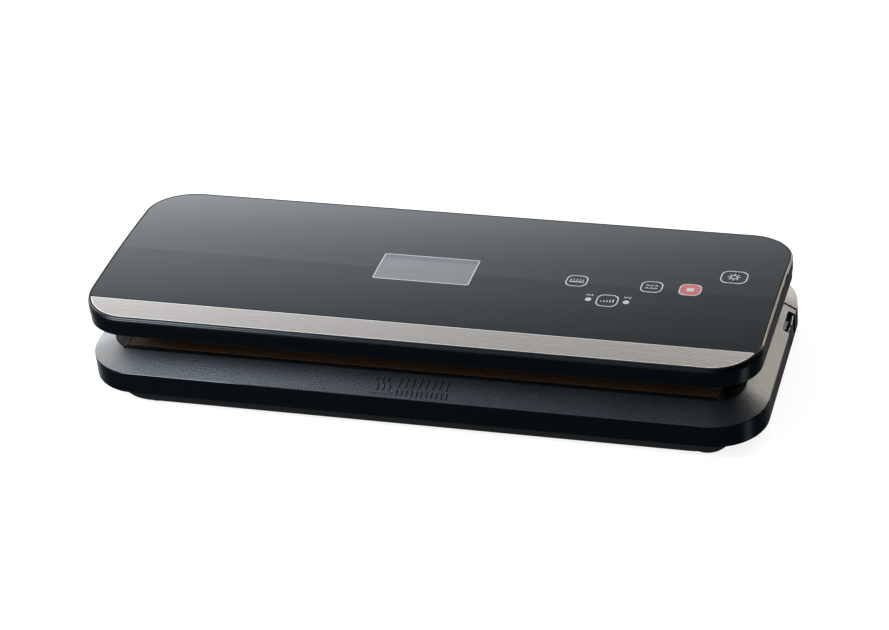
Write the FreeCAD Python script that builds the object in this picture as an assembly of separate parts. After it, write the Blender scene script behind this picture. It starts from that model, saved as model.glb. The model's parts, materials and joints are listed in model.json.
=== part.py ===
import FreeCAD, Part
import math
import os
from FreeCAD import Vector

# Vacuum sealer with a full-width hinged lid, in millimetres.
# +X is the sealer's right side seen from the front, +Y points to the rear, +Z is up.
# The origin is on the table, under the middle of the base.

# ---------------------------------------------------------------- driving dimensions
BASE_HALF_W = 186.2          # over the side walls of the base
BASE_HALF_D = 74.4           # over the front and rear walls of the base
BASE_CORNER_R = 27.8         # front corners
BASE_REAR_R = 36.0           # rear corners
FOOT_H = 3.0                 # feet lift the bottom cover this far off the table
WALL_Z0 = 8.6                # lower edge of the glossy side wall
WALL_Z1 = 21.3               # upper edge of the wall, where the sloping rim starts
WALL_T = 2.4
RIM_INSET_X = 12.1           # run of the sloping rim at the sides
RIM_INSET_Y = 13.4           # run of the sloping rim at the front and rear
RIM_Z1 = 28.0                # upper edge of the sloping rim
RIM_INNER_R = 16.0
RIM_REAR_INNER_R = 23.0
DECK_Z = 29.3                # sealing deck inside the rim
PLATFORM_Z = 36.0            # raised platform over the pump, behind the deck
PLATFORM_Y0 = 12.0
PLATFORM_Y1 = 46.0
PLATFORM_HALF_W = 171.0
SEAM_Y = 37.0                # joint between the base shell and the rear cover
SEAM_GAP = 0.9
TRAY_HALF_W = 174.0          # bottom cover, at its upper edge
TRAY_HALF_D = 73.0
TRAY_CORNER_R = 24.0
TRAY_WALL = 3.4
MOUTH_LEDGE = 1.0            # the shell's flange laps the bottom cover by this at the sides

HINGE_Y = 54.1
HINGE_Z = 38.9
HINGE_X = 155.0              # middle of each hinge
PIN_R = 1.75
LID_REST_DEG = 2.9           # the unlatched lid stands open by this much
LID_HALF_W = 184.4
LID_FRONT = -74.0
LID_REAR = 63.4
LID_CORNER_R = 25.8
LID_Z0 = 39.1                # lower edge of the lid band, lid closed
LID_TOP = 52.88              # crest of the crowned lid top, lid closed
LID_LEDGE_Z = 44.3
CROWN_R = 854.0              # radius of the crowned top, front to rear
CROWN_Y = -5.3
GLASS_INSET = 1.4            # from the lid's outer edge to the glass
GLASS_T = 2.0
STRIP_REAR = -56.1           # joint between the trim strip and the glass
STRIP_GAP = 0.45

TUB_HALF_W = 172.8           # lower tier of the lid, over the sealing deck
TUB_FRONT = -61.2
TUB_REAR = 11.0
TUB_Z = 30.6
LID_PLATE_Z0 = 41.0
LID_PLATE_Z1 = 42.8
LID_PLATE_REAR = 47.0

BAR_HALF_L = 162.5           # heating bar
BAR_Y0 = -60.4
BAR_Y1 = -50.4
BAR_TOP = 28.9
TAPE_Y0 = -58.6              # front edge of the tape; the carrier shows in front of it
TAPE_T = 0.5
GASKET_HALF_W = 162.0
GASKET_Y0 = -47.5
GASKET_Y1 = 6.5
GASKET_W = 6.0
GASKET_TOP = 30.3
TROUGH_HALF_W = 150.0
TROUGH_Y0 = -37.0
TROUGH_Y1 = -4.5
TROUGH_Z = 19.5

BUTTON_Y = 23.4
BUTTON_HALF_L = 8.3
BUTTON_TRAVEL = 1.8
BUTTON_X = 186.15            # middle of the button's bowed face, flush with the wall
BUTTON_BACK_X = 184.6
POCKET_X = BUTTON_BACK_X - BUTTON_TRAVEL - 0.2
POCKET_HALF_L = 9.2
LATCH_X = 166.0              # axis of each latch bar
LATCH_Z = 8.8
LATCH_R = 2.2
LATCH_Y = -42.0              # middle of the hook and of the lid's striker

FLOOR_Z = 5.2                # inside face of the bottom cover
MOTOR_Y = 25.5
MOTOR_Z = 19.5
CRANK_THROW = 1.0
SPOUT_X = 60.0               # suction outlet under the vacuum trough
SPOUT_Y = -12.0
PORT_Y = 39.2                # pump ports
HOSE_Z = 11.5
VALVE_Z = 26.0
RUN_CLEAR = 0.08             # radial clearance of every running fit
BOTTOM_SCREWS = [(50, -65), (120, -65), (156.5, 0), (50, 66), (105, 66)]
LID_SCREWS = [(60, -66.0), (150, -66.0), (177, -20), (177, 30)]
ARM_SCREWS = [(152.8, 29.0), (152.8, 40.0)]
HINGE_SCREWS = [(HINGE_X - 3.5, 50.0), (HINGE_X + 3.5, 50.0)]
BOARD_POSTS = [(58, -29), (150, -29), (58, 20), (150, 20)]
FEET = [(156.0, -58.6), (156.0, 58.6), (-147.0, -58.6), (-147.0, 58.6)]
FOOT_R = 11.0
FOOT_SPIGOT_R = 7.9          # the part of a foot glued into the bottom cover
FOOT_SPIGOT_H = 1.0
KEYS = [(75.6, -3.4), (95.9, -20.5), (116.2, -3.5), (136.8, -3.4), (157.2, 13.0)]
INDICATORS = [(86.2, -20.6), (106.5, -20.6)]
DISPLAY = (-34.0, 19.7, -16.7, 9.5)

X_AXIS = Vector(1, 0, 0)
Y_AXIS = Vector(0, 1, 0)
Z_AXIS = Vector(0, 0, 1)


# ---------------------------------------------------------------- helpers
def box(x0, x1, y0, y1, z0, z1):
    return Part.makeBox(x1 - x0, y1 - y0, z1 - z0, Vector(x0, y0, z0))


def rod_x(x0, x1, y, z, r):
    return Part.makeCylinder(r, x1 - x0, Vector(x0, y, z), X_AXIS)


def rod_y(x, y0, y1, z, r):
    return Part.makeCylinder(r, y1 - y0, Vector(x, y0, z), Y_AXIS)


def rod_z(x, y, z0, z1, r):
    return Part.makeCylinder(r, z1 - z0, Vector(x, y, z0), Z_AXIS)


def outline(half_w, front, rear, r_front, r_rear, z):
    """A closed rectangle wire at height z, with rounded front and rear corners."""
    k = math.sqrt(0.5)
    corners = [
        (half_w, front, r_front, 1, -1),
        (half_w, rear, r_rear, 1, 1),
        (-half_w, rear, r_rear, -1, 1),
        (-half_w, front, r_front, -1, -1),
    ]
    arcs = []
    for x, y, r, sx, sy in corners:
        centre = Vector(x - sx * r, y - sy * r, z)
        on_side = centre + Vector(sx * r, 0, 0)
        on_end = centre + Vector(0, sy * r, 0)
        middle = centre + Vector(sx * r * k, sy * r * k, 0)
        first, last = (on_end, on_side) if sx * sy < 0 else (on_side, on_end)
        arcs.append((first, middle, last))
    edges = []
    for i, (first, middle, last) in enumerate(arcs):
        edges.append(Part.Arc(first, middle, last).toShape())
        edges.append(Part.LineSegment(last, arcs[(i + 1) % 4][0]).toShape())
    return Part.Wire(edges)


def prism(half_w, front, rear, r_front, r_rear, z0, z1):
    face = Part.Face(outline(half_w, front, rear, r_front, r_rear, z0))
    return face.extrude(Vector(0, 0, z1 - z0))


def slope(lower, upper):
    return Part.makeLoft([lower, upper], True, True)


def ring(half_w, front, rear, radius, width, z0, z1):
    outer = prism(half_w, front, rear, radius, radius, z0, z1)
    r_in = radius - width
    inner = prism(half_w - width, front + width, rear - width, r_in, r_in, z0 - 1, z1 + 1)
    return outer.cut(inner)


def fuse(shapes):
    return shapes[0].multiFuse(shapes[1:]).removeSplitter()


def mirrored(shape):
    return shape.mirror(Vector(0, 0, 0), X_AXIS)


def both_sides(shape):
    return [shape, mirrored(shape)]


def raised(shape):
    """Turn a piece drawn on the closed lid to the lid's rest position."""
    turned = shape.copy()
    turned.rotate(Vector(0, HINGE_Y, HINGE_Z), X_AXIS, -LID_REST_DEG)
    return turned


def coil(centre, axis, radius, pitch, turns, wire_r):
    """A round-wire coil that starts at centre and runs along axis."""
    helix = Part.makeHelix(pitch, pitch * turns, radius)
    start = Part.Wire(Part.makeCircle(wire_r, Vector(radius, 0, 0), Y_AXIS))
    body = Part.Wire(helix.Edges).makePipeShell([start], True, True)
    body.Placement = FreeCAD.Placement(centre, FreeCAD.Rotation(Z_AXIS, axis))
    return body


def tube(points, bend_r, outer_r, inner_r):
    """A hose along straight runs joined by tangent arcs of radius bend_r."""
    edges = []
    start = points[0]
    for before, corner, after in zip(points, points[1:], points[2:]):
        back = (before - corner).normalize()
        ahead = (after - corner).normalize()
        half = back.getAngle(ahead) / 2
        reach = bend_r / math.tan(half)
        a = corner + back * reach
        b = corner + ahead * reach
        inward = (back + ahead).normalize()
        middle = corner + inward * (bend_r / math.sin(half) - bend_r)
        edges.append(Part.LineSegment(start, a).toShape())
        edges.append(Part.Arc(a, middle, b).toShape())
        start = b
    edges.append(Part.LineSegment(start, points[-1]).toShape())
    path = Part.Wire(edges)
    heading = (points[1] - points[0]).normalize()
    skins = []
    for r in (outer_r, inner_r):
        circle = Part.Wire(Part.makeCircle(r, points[0], heading))
        skins.append(path.makePipeShell([circle], True, False))
    return skins[0].cut(skins[1])


def screw(x, y, z_head, z_tip, head_r, shank_r, head_h):
    """A pan-head screw along Z; the tip may be above or below its head."""
    up = 1 if z_tip > z_head else -1
    head = rod_z(x, y, min(z_head, z_head + up * head_h), max(z_head, z_head + up * head_h), head_r)
    shank = rod_z(x, y, min(z_head, z_tip), max(z_head, z_tip), shank_r)
    slot_z = z_head if up > 0 else z_head - 0.6
    slot = box(x - head_r, x + head_r, y - 0.3, y + 0.3, slot_z, slot_z + 0.6)
    return head.fuse(shank).cut(slot)


def at_all(points):
    """The given places and their mirror images on the left."""
    return [(s * x, y) for x, y in points for s in (1, -1)]


def save(name, shape):
    shape.exportStep(os.path.join("parts", name + ".step"))


# ---------------------------------------------------------------- base shells
def base_outer():
    edge = 0.3
    w = BASE_HALF_W
    d = BASE_HALF_D
    r = BASE_CORNER_R
    rear_r = BASE_REAR_R
    wall = prism(w, -d, d, r, rear_r, WALL_Z0, WALL_Z1 - edge)
    neck_w = w - RIM_INSET_X
    neck_d = d - RIM_INSET_Y
    foot_of_rim = outline(w - edge, edge - d, d - edge, r - edge, rear_r - edge, WALL_Z1)
    shoulder = slope(outline(w, -d, d, r, rear_r, WALL_Z1 - edge), foot_of_rim)
    rim = slope(foot_of_rim,
                outline(neck_w, -neck_d, neck_d, RIM_INNER_R, RIM_REAR_INNER_R, RIM_Z1))
    neck = prism(neck_w, -neck_d, SEAM_Y, RIM_INNER_R, 0.5, RIM_Z1, DECK_Z)
    platform = prism(PLATFORM_HALF_W, PLATFORM_Y0, PLATFORM_Y1, 6, 6, RIM_Z1 - 1, PLATFORM_Z)
    return fuse([wall, shoulder, rim, neck, platform])


def base_cavity():
    """The room inside the base, one wall thickness under its outer faces."""
    flange_top = WALL_Z0 + 2.0
    wall_top = WALL_Z1 - 1.6
    under_deck = DECK_Z - WALL_T
    w = BASE_HALF_W - WALL_T
    d = BASE_HALF_D - WALL_T
    r = BASE_CORNER_R - WALL_T
    rear_r = BASE_REAR_R - WALL_T
    mouth_w = TRAY_HALF_W - MOUTH_LEDGE
    mouth_d = TRAY_HALF_D - TRAY_WALL + 0.2
    mouth_r = TRAY_CORNER_R - MOUTH_LEDGE
    mouth = prism(mouth_w, -mouth_d, mouth_d, mouth_r, mouth_r, WALL_Z0 - 1, flange_top)
    room = prism(w, -d, d, r, rear_r, flange_top, wall_top)
    roof_w = BASE_HALF_W - RIM_INSET_X - 2.9
    roof_d = BASE_HALF_D - RIM_INSET_Y - 3.1
    roof_r = RIM_INNER_R - 3
    hip = slope(outline(w, -d, d, r, rear_r, wall_top),
                outline(roof_w, -roof_d, roof_d, roof_r, RIM_REAR_INNER_R - 3, under_deck - 1.3))
    attic = prism(roof_w, -roof_d, SEAM_Y, roof_r, 0.5, under_deck - 1.3, under_deck)
    pump_room = prism(PLATFORM_HALF_W - WALL_T, PLATFORM_Y0 + WALL_T, PLATFORM_Y1 - WALL_T, 4, 4,
                      under_deck - 2, PLATFORM_Z - WALL_T)
    return fuse([mouth, room, hip, attic, pump_room])


def button_pocket_wall(sign):
    """The material left around the recess, inside the hollow shell."""
    around = POCKET_HALF_L + 2.0
    x = sorted((sign * (POCKET_X - WALL_T), sign * (POCKET_X + 2.0)))
    return box(x[0], x[1], BUTTON_Y - around, BUTTON_Y + around, WALL_Z0, 27.0)


def button_pocket(sign):
    """The recess in the side wall and rim that holds a release button."""
    x = sorted((sign * POCKET_X, sign * (BASE_HALF_W + 4)))
    y0 = BUTTON_Y - POCKET_HALF_L
    y1 = BUTTON_Y + POCKET_HALF_L
    pocket = box(x[0], x[1], y0, y1, WALL_Z0 + 2.0, 30.0)
    inner = [e for e in pocket.Edges if abs(abs(e.CenterOfMass.x) - POCKET_X) < 0.01
             and abs(e.tangentAt(e.FirstParameter).z) > 0.9]
    return pocket.makeFillet(1.6, inner)


def stem_hole(sign):
    x = sorted((sign * 176.0, sign * (POCKET_X + 1)))
    return box(x[0], x[1], BUTTON_Y - 4.2, BUTTON_Y + 4.2, 17.6, 19.8)


def screw_bosses(outer):
    bosses = [rod_z(x, y, FLOOR_Z + 0.05, 30, 3.5) for x, y in at_all(BOTTOM_SCREWS)]
    return Part.makeCompound(bosses).common(outer)


def inlet_hole():
    return box(117.9, 142.1, 60.0, 80.0, 9.6, 20.4)


def base_shells():
    """The front shell and the rear cover, cut from one hollow body at the seam."""
    outer = base_outer()
    hollow = outer.cut(base_cavity())
    bar_seat = box(-168, 168, BAR_Y0 - 1.2, BAR_Y1 + 1.4, 21.5, DECK_Z).common(outer)
    extra = [button_pocket_wall(s).common(outer) for s in (1, -1)]
    body = hollow.multiFuse([bar_seat, screw_bosses(outer)] + extra)
    cuts = [rod_z(x, y, 0, 18.5, 1.25) for x, y in at_all(BOTTOM_SCREWS)]
    for sign in (1, -1):
        cuts.append(button_pocket(sign))
        cuts.append(stem_hole(sign))
        slot_x = sorted((sign * (LATCH_X - 2.7), sign * (LATCH_X + 5.4)))
        cuts.append(box(slot_x[0], slot_x[1], LATCH_Y - 6, LATCH_Y + 6, 22, 31))
    cuts.append(box(-BAR_HALF_L - 2.5, BAR_HALF_L + 2.5, BAR_Y0 - 0.1, BAR_Y1 + 0.1, 24.0, 31))
    cuts.append(ring(GASKET_HALF_W, GASKET_Y0, GASKET_Y1, 12, GASKET_W, 28.1, 31))
    cuts.append(prism(TROUGH_HALF_W, TROUGH_Y0, TROUGH_Y1, 8, 8, 18, 31))
    cuts += [rod_z(x, y, RIM_Z1 - 4, RIM_Z1 + 1, 1.25) for x, y in at_all(HINGE_SCREWS)]
    cuts.append(inlet_hole())
    body = body.cut(Part.makeCompound(cuts))
    half_gap = SEAM_GAP / 2
    front = body.common(box(-200, 200, -100, SEAM_Y - half_gap, 0, 60))
    rear = body.common(box(-200, 200, SEAM_Y + half_gap, 100, 0, 60))
    return front, rear


def bottom_cover():
    w = TRAY_HALF_W
    d = TRAY_HALF_D
    r = TRAY_CORNER_R
    draft_x = 2.0
    draft_y = 1.0
    outer = slope(outline(w - draft_x, draft_y - d, d - draft_y, r - 1, r - 1, FOOT_H),
                  outline(w, -d, d, r, r, WALL_Z0))
    lip = TRAY_WALL
    inner = prism(w - lip, lip - d, d - lip, r - lip, r - lip, FLOOR_Z, WALL_Z0 + 1)
    pan = outer.cut(inner)
    posts = []
    holes = []
    for s in (1, -1):
        for y0 in (-30.0, 6.0):
            posts.append(box(s * LATCH_X - 4.5, s * LATCH_X + 4.5, y0, y0 + 4, FLOOR_Z - 0.2, 13.0))
        holes.append(rod_y(s * LATCH_X, -32, 12, LATCH_Z, LATCH_R + RUN_CLEAR))
    for x, y in at_all(BOTTOM_SCREWS):
        holes.append(rod_z(x, y, 0, 8, 1.6))
        holes.append(rod_z(x, y, 0, FOOT_H + 1.6, 3.1))
    for x, y in FEET:
        holes.append(rod_z(x, y, 0, FOOT_H + FOOT_SPIGOT_H, FOOT_SPIGOT_R + 0.1))
    for i in range(9):
        x = -60 + 8 * i
        holes.append(box(x, x + 3, 14, 40, 0, 8))
    return fuse([pan] + posts).cut(Part.makeCompound(holes))


def foot(x, y):
    pad = rod_z(x, y, 0, FOOT_H, FOOT_R)
    lower = [e for e in pad.Edges if e.BoundBox.ZMax < 0.01]
    spigot = rod_z(x, y, FOOT_H, FOOT_H + FOOT_SPIGOT_H, FOOT_SPIGOT_R)
    return pad.makeChamfer(1.2, lower).fuse(spigot)


# ---------------------------------------------------------------- sealing deck
def heating_bar():
    carrier = box(-BAR_HALF_L - 2.4, BAR_HALF_L + 2.4, BAR_Y0, BAR_Y1, 24.0, BAR_TOP)
    mid = (TAPE_Y0 + BAR_Y1) / 2
    element = box(-BAR_HALF_L + 2, BAR_HALF_L - 2, mid - 2.5, mid + 2.5, BAR_TOP, BAR_TOP + TAPE_T / 2)
    tape = box(-BAR_HALF_L, BAR_HALF_L, TAPE_Y0, BAR_Y1, BAR_TOP, BAR_TOP + TAPE_T).cut(element)
    clamps = []
    for s in (1, -1):
        x = sorted((s * (BAR_HALF_L + 0.1), s * (BAR_HALF_L + 2.4)))
        clamps.append(box(x[0], x[1], BAR_Y0, BAR_Y1, BAR_TOP, DECK_Z + 0.3))
    return carrier, element, tape, clamps


def gasket(z0, z1):
    body = ring(GASKET_HALF_W - 0.1, GASKET_Y0 + 0.1, GASKET_Y1 - 0.1, 11.9, GASKET_W - 0.2, z0, z1)
    return body


def vacuum_trough():
    w = TROUGH_HALF_W
    y0 = TROUGH_Y0
    y1 = TROUGH_Y1
    t = 1.5
    tub = prism(w - 0.1, y0 + 0.1, y1 - 0.1, 7.9, 7.9, TROUGH_Z, DECK_Z)
    flange = prism(w + 3, y0 - 3, y1 + 3, 10, 10, DECK_Z, DECK_Z + 0.6)
    room = prism(w - t, y0 + t, y1 - t, 6.5, 6.5, TROUGH_Z + t, 31)
    spout = rod_z(SPOUT_X, SPOUT_Y, 17.6, TROUGH_Z + t, 2.6)
    bore = rod_z(SPOUT_X, SPOUT_Y, 17, TROUGH_Z + t + 1, 1.6)
    return fuse([tub, flange, spout]).cut(Part.makeCompound([room, bore]))


# ---------------------------------------------------------------- release buttons and latches
def release_button():
    z0 = WALL_Z0 + 2.6
    z1 = WALL_Z1 - 0.4
    bow_r = 60.0
    y0 = BUTTON_Y - BUTTON_HALF_L
    y1 = BUTTON_Y + BUTTON_HALF_L
    plate = box(BUTTON_BACK_X, BUTTON_X + 1, y0, y1, z0, z1)
    face = plate.common(rod_z(BUTTON_X - bow_r, BUTTON_Y, z0, z1, bow_r))
    outer = [e for e in face.Edges if e.CenterOfMass.x > BUTTON_BACK_X + 0.5]
    face = face.makeFillet(0.45, outer)
    stem = box(LATCH_X + 1.8, BUTTON_BACK_X + 0.4, BUTTON_Y - 4.0, BUTTON_Y + 4.0, 17.8, 19.6)
    return face.fuse(stem).removeSplitter()


def latch_bar():
    shaft = rod_y(LATCH_X, -48, 30, LATCH_Z, LATCH_R)
    lever = box(LATCH_X - 1.5, LATCH_X + 1.5, BUTTON_Y - 4.5, BUTTON_Y + 4.5, LATCH_Z, 20.2)
    y0 = LATCH_Y - 4
    y1 = LATCH_Y + 4
    x0 = LATCH_X - 4.2
    clamp = box(x0, LATCH_X + 2.0, y0, y1, 7.2, 11.0)
    arm = box(x0, LATCH_X - 1.4, y0, y1, 7.2, 26.4)
    nose = box(x0, LATCH_X - 0.7, y0, y1, 24.8, 26.4)
    return fuse([shaft, lever, clamp, arm, nose])


def latch_spring(sign):
    return coil(Vector(sign * LATCH_X, -4.0, LATCH_Z), Y_AXIS, LATCH_R + 0.9, 1.3, 5, 0.45)


def latch_striker():
    """The lid's catch: a leg through the deck with a nose that faces the hook."""
    y0 = LATCH_Y - 3
    y1 = LATCH_Y + 3
    leg = box(LATCH_X + 1.8, LATCH_X + 4.6, y0, y1, 22.0, TUB_Z + 2.0)
    nose = box(LATCH_X - 0.4, LATCH_X + 2.0, y0, y1, 22.0, 24.5)
    pad = box(LATCH_X + 0.8, LATCH_X + 4.5, y0 - 3, y1 + 3, TUB_Z + 2.0, TUB_Z + 4.0)
    return fuse([leg, nose, pad])


# ---------------------------------------------------------------- hinges
def hinge_bracket():
    plate = box(HINGE_X - 10, HINGE_X + 10, 46.4, 55.6, RIM_Z1, RIM_Z1 + 1.6)
    ears = []
    for side in (-1, 1):
        x = sorted((HINGE_X + side * 7.0, HINGE_X + side * 9.2))
        eye = rod_x(x[0], x[1], HINGE_Y, HINGE_Z, 4.0)
        neck = box(x[0], x[1], HINGE_Y - 7.5, HINGE_Y + 0.8, RIM_Z1, HINGE_Z)
        ears.append(eye.fuse(neck))
    pin_hole = rod_x(HINGE_X - 12, HINGE_X + 12, HINGE_Y, HINGE_Z, PIN_R)
    screws = [rod_z(x, y, RIM_Z1 - 1, RIM_Z1 + 2, 1.25) for x, y in HINGE_SCREWS]
    return fuse([plate] + ears).cut(Part.makeCompound([pin_hole] + screws))


def hinge_pin():
    shaft = rod_x(HINGE_X - 9.8, HINGE_X + 9.8, HINGE_Y, HINGE_Z, PIN_R)
    head = rod_x(HINGE_X + 9.2, HINGE_X + 10.4, HINGE_Y, HINGE_Z, 2.8)
    return shaft.fuse(head).removeSplitter()


def hinge_spring(sign):
    """Both springs are wound the same way, so the left one is not a mirror image."""
    pitch = 1.3
    turns = 2.5
    start = sign * (HINGE_X + 4.6) - pitch * turns / 2
    return coil(Vector(start, HINGE_Y, HINGE_Z), X_AXIS, 2.85, pitch, turns, 0.5)


def hinge_arm():
    x0 = HINGE_X - 6.6
    x1 = HINGE_X + 2.2
    knuckle = rod_x(x0, x1, HINGE_Y, HINGE_Z, 3.8)
    block = box(x0, x1, LID_PLATE_REAR + 0.4, HINGE_Y, HINGE_Z, 44.8)
    strap = box(x0, x1, 24.0, HINGE_Y, LID_PLATE_Z1, 44.8)
    holes = [rod_x(x0 - 1, x1 + 1, HINGE_Y, HINGE_Z, PIN_R + RUN_CLEAR)]
    holes += [rod_z(x, y, 42, 46, 1.1) for x, y in ARM_SCREWS]
    return fuse([knuckle, block, strap]).cut(Part.makeCompound(holes))


# ---------------------------------------------------------------- pump, valve and electrics
def motor():
    can = rod_x(-66, -32, MOTOR_Y, MOTOR_Z, 12.0).cut(rod_x(-64.5, -33.5, MOTOR_Y, MOTOR_Z, 10.8))
    can = can.cut(rod_x(-70, -30, MOTOR_Y, MOTOR_Z, 1.5 + RUN_CLEAR))
    armature = rod_x(-61, -37, MOTOR_Y, MOTOR_Z, 9.6)
    slots = []
    for i in range(6):
        a = math.radians(60 * i)
        slots.append(rod_x(-62, -36, MOTOR_Y + 9.2 * math.cos(a), MOTOR_Z + 9.2 * math.sin(a), 1.4))
    armature = armature.cut(Part.makeCompound(slots))
    shaft = rod_x(-67, -12, MOTOR_Y, MOTOR_Z, 1.5)
    crank = rod_x(-22, -15.2, MOTOR_Y + CRANK_THROW, MOTOR_Z, 4.0)
    return can, fuse([armature, shaft, crank])


def pump_head():
    """Housing, valve cover and the yoke that the crank drives back and forth along Y."""
    x0 = -31.6
    x1 = -5.6
    y1 = 36.0
    mid = (x0 + x1) / 2
    housing = box(x0, x1, 15.0, y1, 6.6, 32.6)
    room = box(x0 + 2, x1 - 2, 17.0, y1 - 2, 8.6, 30.6)
    mouth = rod_y(mid, y1 - 3, y1 + 1, MOTOR_Z, 10.0)
    eye = rod_x(x0 - 1, x0 + 3, MOTOR_Y, MOTOR_Z, 2.6)
    housing = housing.cut(Part.makeCompound([room, mouth, eye]))
    cover = box(x0, x1, y1, y1 + 6.4, 6.6, 32.6).cut(rod_y(mid, y1 - 1, y1 + 2.5, MOTOR_Z, 10.0))
    ports = [rod_x(x1, x1 + 8, PORT_Y, z, 2.4) for z in (HOSE_Z, VALVE_Z)]
    bores = [rod_x(mid, x1 + 9, PORT_Y, z, 1.4) for z in (HOSE_Z, VALVE_Z)]
    cover = fuse([cover] + ports).cut(Part.makeCompound(bores))
    yoke = box(mid - 5, mid + 5, MOTOR_Y - 7.3, MOTOR_Y + 7.3, MOTOR_Z - 8.6, MOTOR_Z + 8.6)
    slot = box(mid - 6, mid + 6, MOTOR_Y - 6.1, MOTOR_Y + 6.1, MOTOR_Z - 6.6, MOTOR_Z + 6.6)
    disc = rod_y(mid, MOTOR_Y + 7.3, MOTOR_Y + 8.3, MOTOR_Z, 9.4)
    return housing, cover, yoke.cut(slot).fuse(disc).removeSplitter()


def solenoid():
    body = box(34, 58, 31.5, 43.0, 6.6, 32.0)
    body = body.cut(rod_x(36, 59, PORT_Y - 2, VALVE_Z, 3.4))
    stub = rod_x(27, 34, PORT_Y, VALVE_Z, 2.4)
    body = body.fuse(stub).cut(rod_x(26, 35.5, PORT_Y, VALVE_Z, 1.4))
    plunger = rod_x(38.5, 61.0, PORT_Y - 2, VALVE_Z, 3.4 - RUN_CLEAR)
    cap = rod_x(61.0, 62.5, PORT_Y - 2, VALVE_Z, 4.6)
    return body, plunger.fuse(cap).removeSplitter()


def pressure_sensor():
    body = box(66, 78, 16, 26, 6.6, 13.0)
    spout = rod_x(59, 66, 18.5, 9.8, 1.6).cut(rod_x(58, 66, 18.5, 9.8, 0.9))
    return body.fuse(spout).removeSplitter()


def air_hoses():
    """Trough to pump, and pump to release valve."""
    turn_y = 5.0
    turn_x = 18.0
    end_x = -2.0
    first = tube([Vector(SPOUT_X, SPOUT_Y, HOSE_Z + 7.9), Vector(SPOUT_X, SPOUT_Y, HOSE_Z),
                  Vector(SPOUT_X, turn_y, HOSE_Z), Vector(turn_x, turn_y, HOSE_Z),
                  Vector(turn_x, PORT_Y, HOSE_Z), Vector(end_x, PORT_Y, HOSE_Z)], 6.0, 4.0, 2.65)
    bore = rod_x(end_x, 31.0, PORT_Y, VALVE_Z, 2.45)
    return first, rod_x(end_x, 31.0, PORT_Y, VALVE_Z, 3.4).cut(bore)


def power_board():
    board = box(92, 150, 15, 56, 8.6, 10.2)
    corners = [(96, 19), (146, 19), (96, 52), (146, 52)]
    board = board.cut(Part.makeCompound([rod_z(x, y, 8, 11, 1.6) for x, y in corners]))
    posts = Part.makeCompound([rod_z(x, y, FLOOR_Z, 8.6, 3.0) for x, y in corners])
    pilot = Part.makeCompound([rod_z(x, y, FLOOR_Z + 0.8, 9.0, 1.1) for x, y in corners])
    screws = Part.makeCompound([screw(x, y, 11.4, 6.2, 2.6, 1.1, 1.2) for x, y in corners])
    core = box(100, 124, 23, 43, 10.2, 15.0).fuse(box(100, 124, 23, 43, 24.0, 28.0))
    core = core.fuse(box(100, 105, 23, 43, 15.0, 24.0)).fuse(box(119, 124, 23, 43, 15.0, 24.0))
    winding = prism(6.6, -8.0, 8.0, 3, 3, 15.1, 23.9)
    winding.translate(Vector(112, 33, 0))
    cans = [(132, 24, 4.0, 14.0), (132, 34, 4.0, 14.0), (141, 28, 3.0, 10.0), (141, 36, 3.0, 10.0)]
    capacitors = Part.makeCompound([rod_z(x, y, 10.2, 10.2 + h, r) for x, y, r, h in cans])
    sink = box(130, 148, 42, 44, 10.2, 24.0)
    fins = [box(130 + 2.8 * i, 131 + 2.8 * i, 44, 49, 10.2, 24.0) for i in range(7)]
    return board, posts.cut(pilot), screws, core.removeSplitter(), winding, capacitors, fuse([sink] + fins)


def power_inlet():
    """A two-pole appliance inlet in the rear wall."""
    body = box(118, 142, 60.5, BASE_HALF_D, 9.7, 20.3)
    bezel = box(114.0, 146.0, BASE_HALF_D - 3.9, BASE_HALF_D - 2.5, 10.8, 19.2)
    lobes = [rod_y(x, 62.5, 80, 15.0, 3.9) for x in (126.2, 133.8)]
    mouth = fuse(lobes + [box(126.2, 133.8, 62.5, 80, 11.9, 18.1)])
    pins = [rod_y(x, 58.0, 72.5, 15.0, 1.2) for x in (126.2, 133.8)]
    shell = body.fuse(bezel).cut(mouth).cut(Part.makeCompound(pins)).removeSplitter()
    return shell, Part.makeCompound(pins)


# ---------------------------------------------------------------- lid
def crown(depth):
    """Everything below the crowned lid top, lowered by depth."""
    r = CROWN_R - depth
    return rod_x(-200, 200, CROWN_Y, LID_TOP - CROWN_R, r)


def lid_prism(inset, z0, z1):
    r = LID_CORNER_R - inset
    return prism(LID_HALF_W - inset, LID_FRONT + inset, LID_REAR - inset, r, r, z0, z1)


def lid_frame():
    over = 60.0
    block = lid_prism(0, LID_Z0, over).common(crown(0))
    top = [e for e in block.Edges if e.BoundBox.ZMin > LID_LEDGE_Z + 2]
    block = block.makeFillet(1.5, top)
    skirt = block.common(box(-200, 200, -100, 100, 0, LID_LEDGE_Z)).common(lid_prism(0.45, 0, over))
    band = block.common(box(-200, 200, -100, 100, LID_LEDGE_Z, over))
    seat = lid_prism(GLASS_INSET - 0.15, LID_Z0, over).cut(crown(GLASS_T))
    room = lid_prism(2.8, LID_Z0 - 1, over).common(crown(GLASS_T + 1.6))
    window = lid_prism(9.0, LID_Z0 - 1, over)
    ring_body = fuse([skirt, band]).cut(seat).cut(room).cut(window)
    bosses = [rod_z(x, y, LID_PLATE_Z1, over, 2.8) for x, y in at_all(LID_SCREWS)]
    bosses = Part.makeCompound(bosses).common(crown(GLASS_T)).common(lid_prism(1.0, LID_Z0, over))
    pilots = [rod_z(x, y, LID_PLATE_Z0, 47.5, 1.1) for x, y in at_all(LID_SCREWS)]
    return ring_body.fuse(bosses).removeSplitter().cut(Part.makeCompound(pilots))


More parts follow.
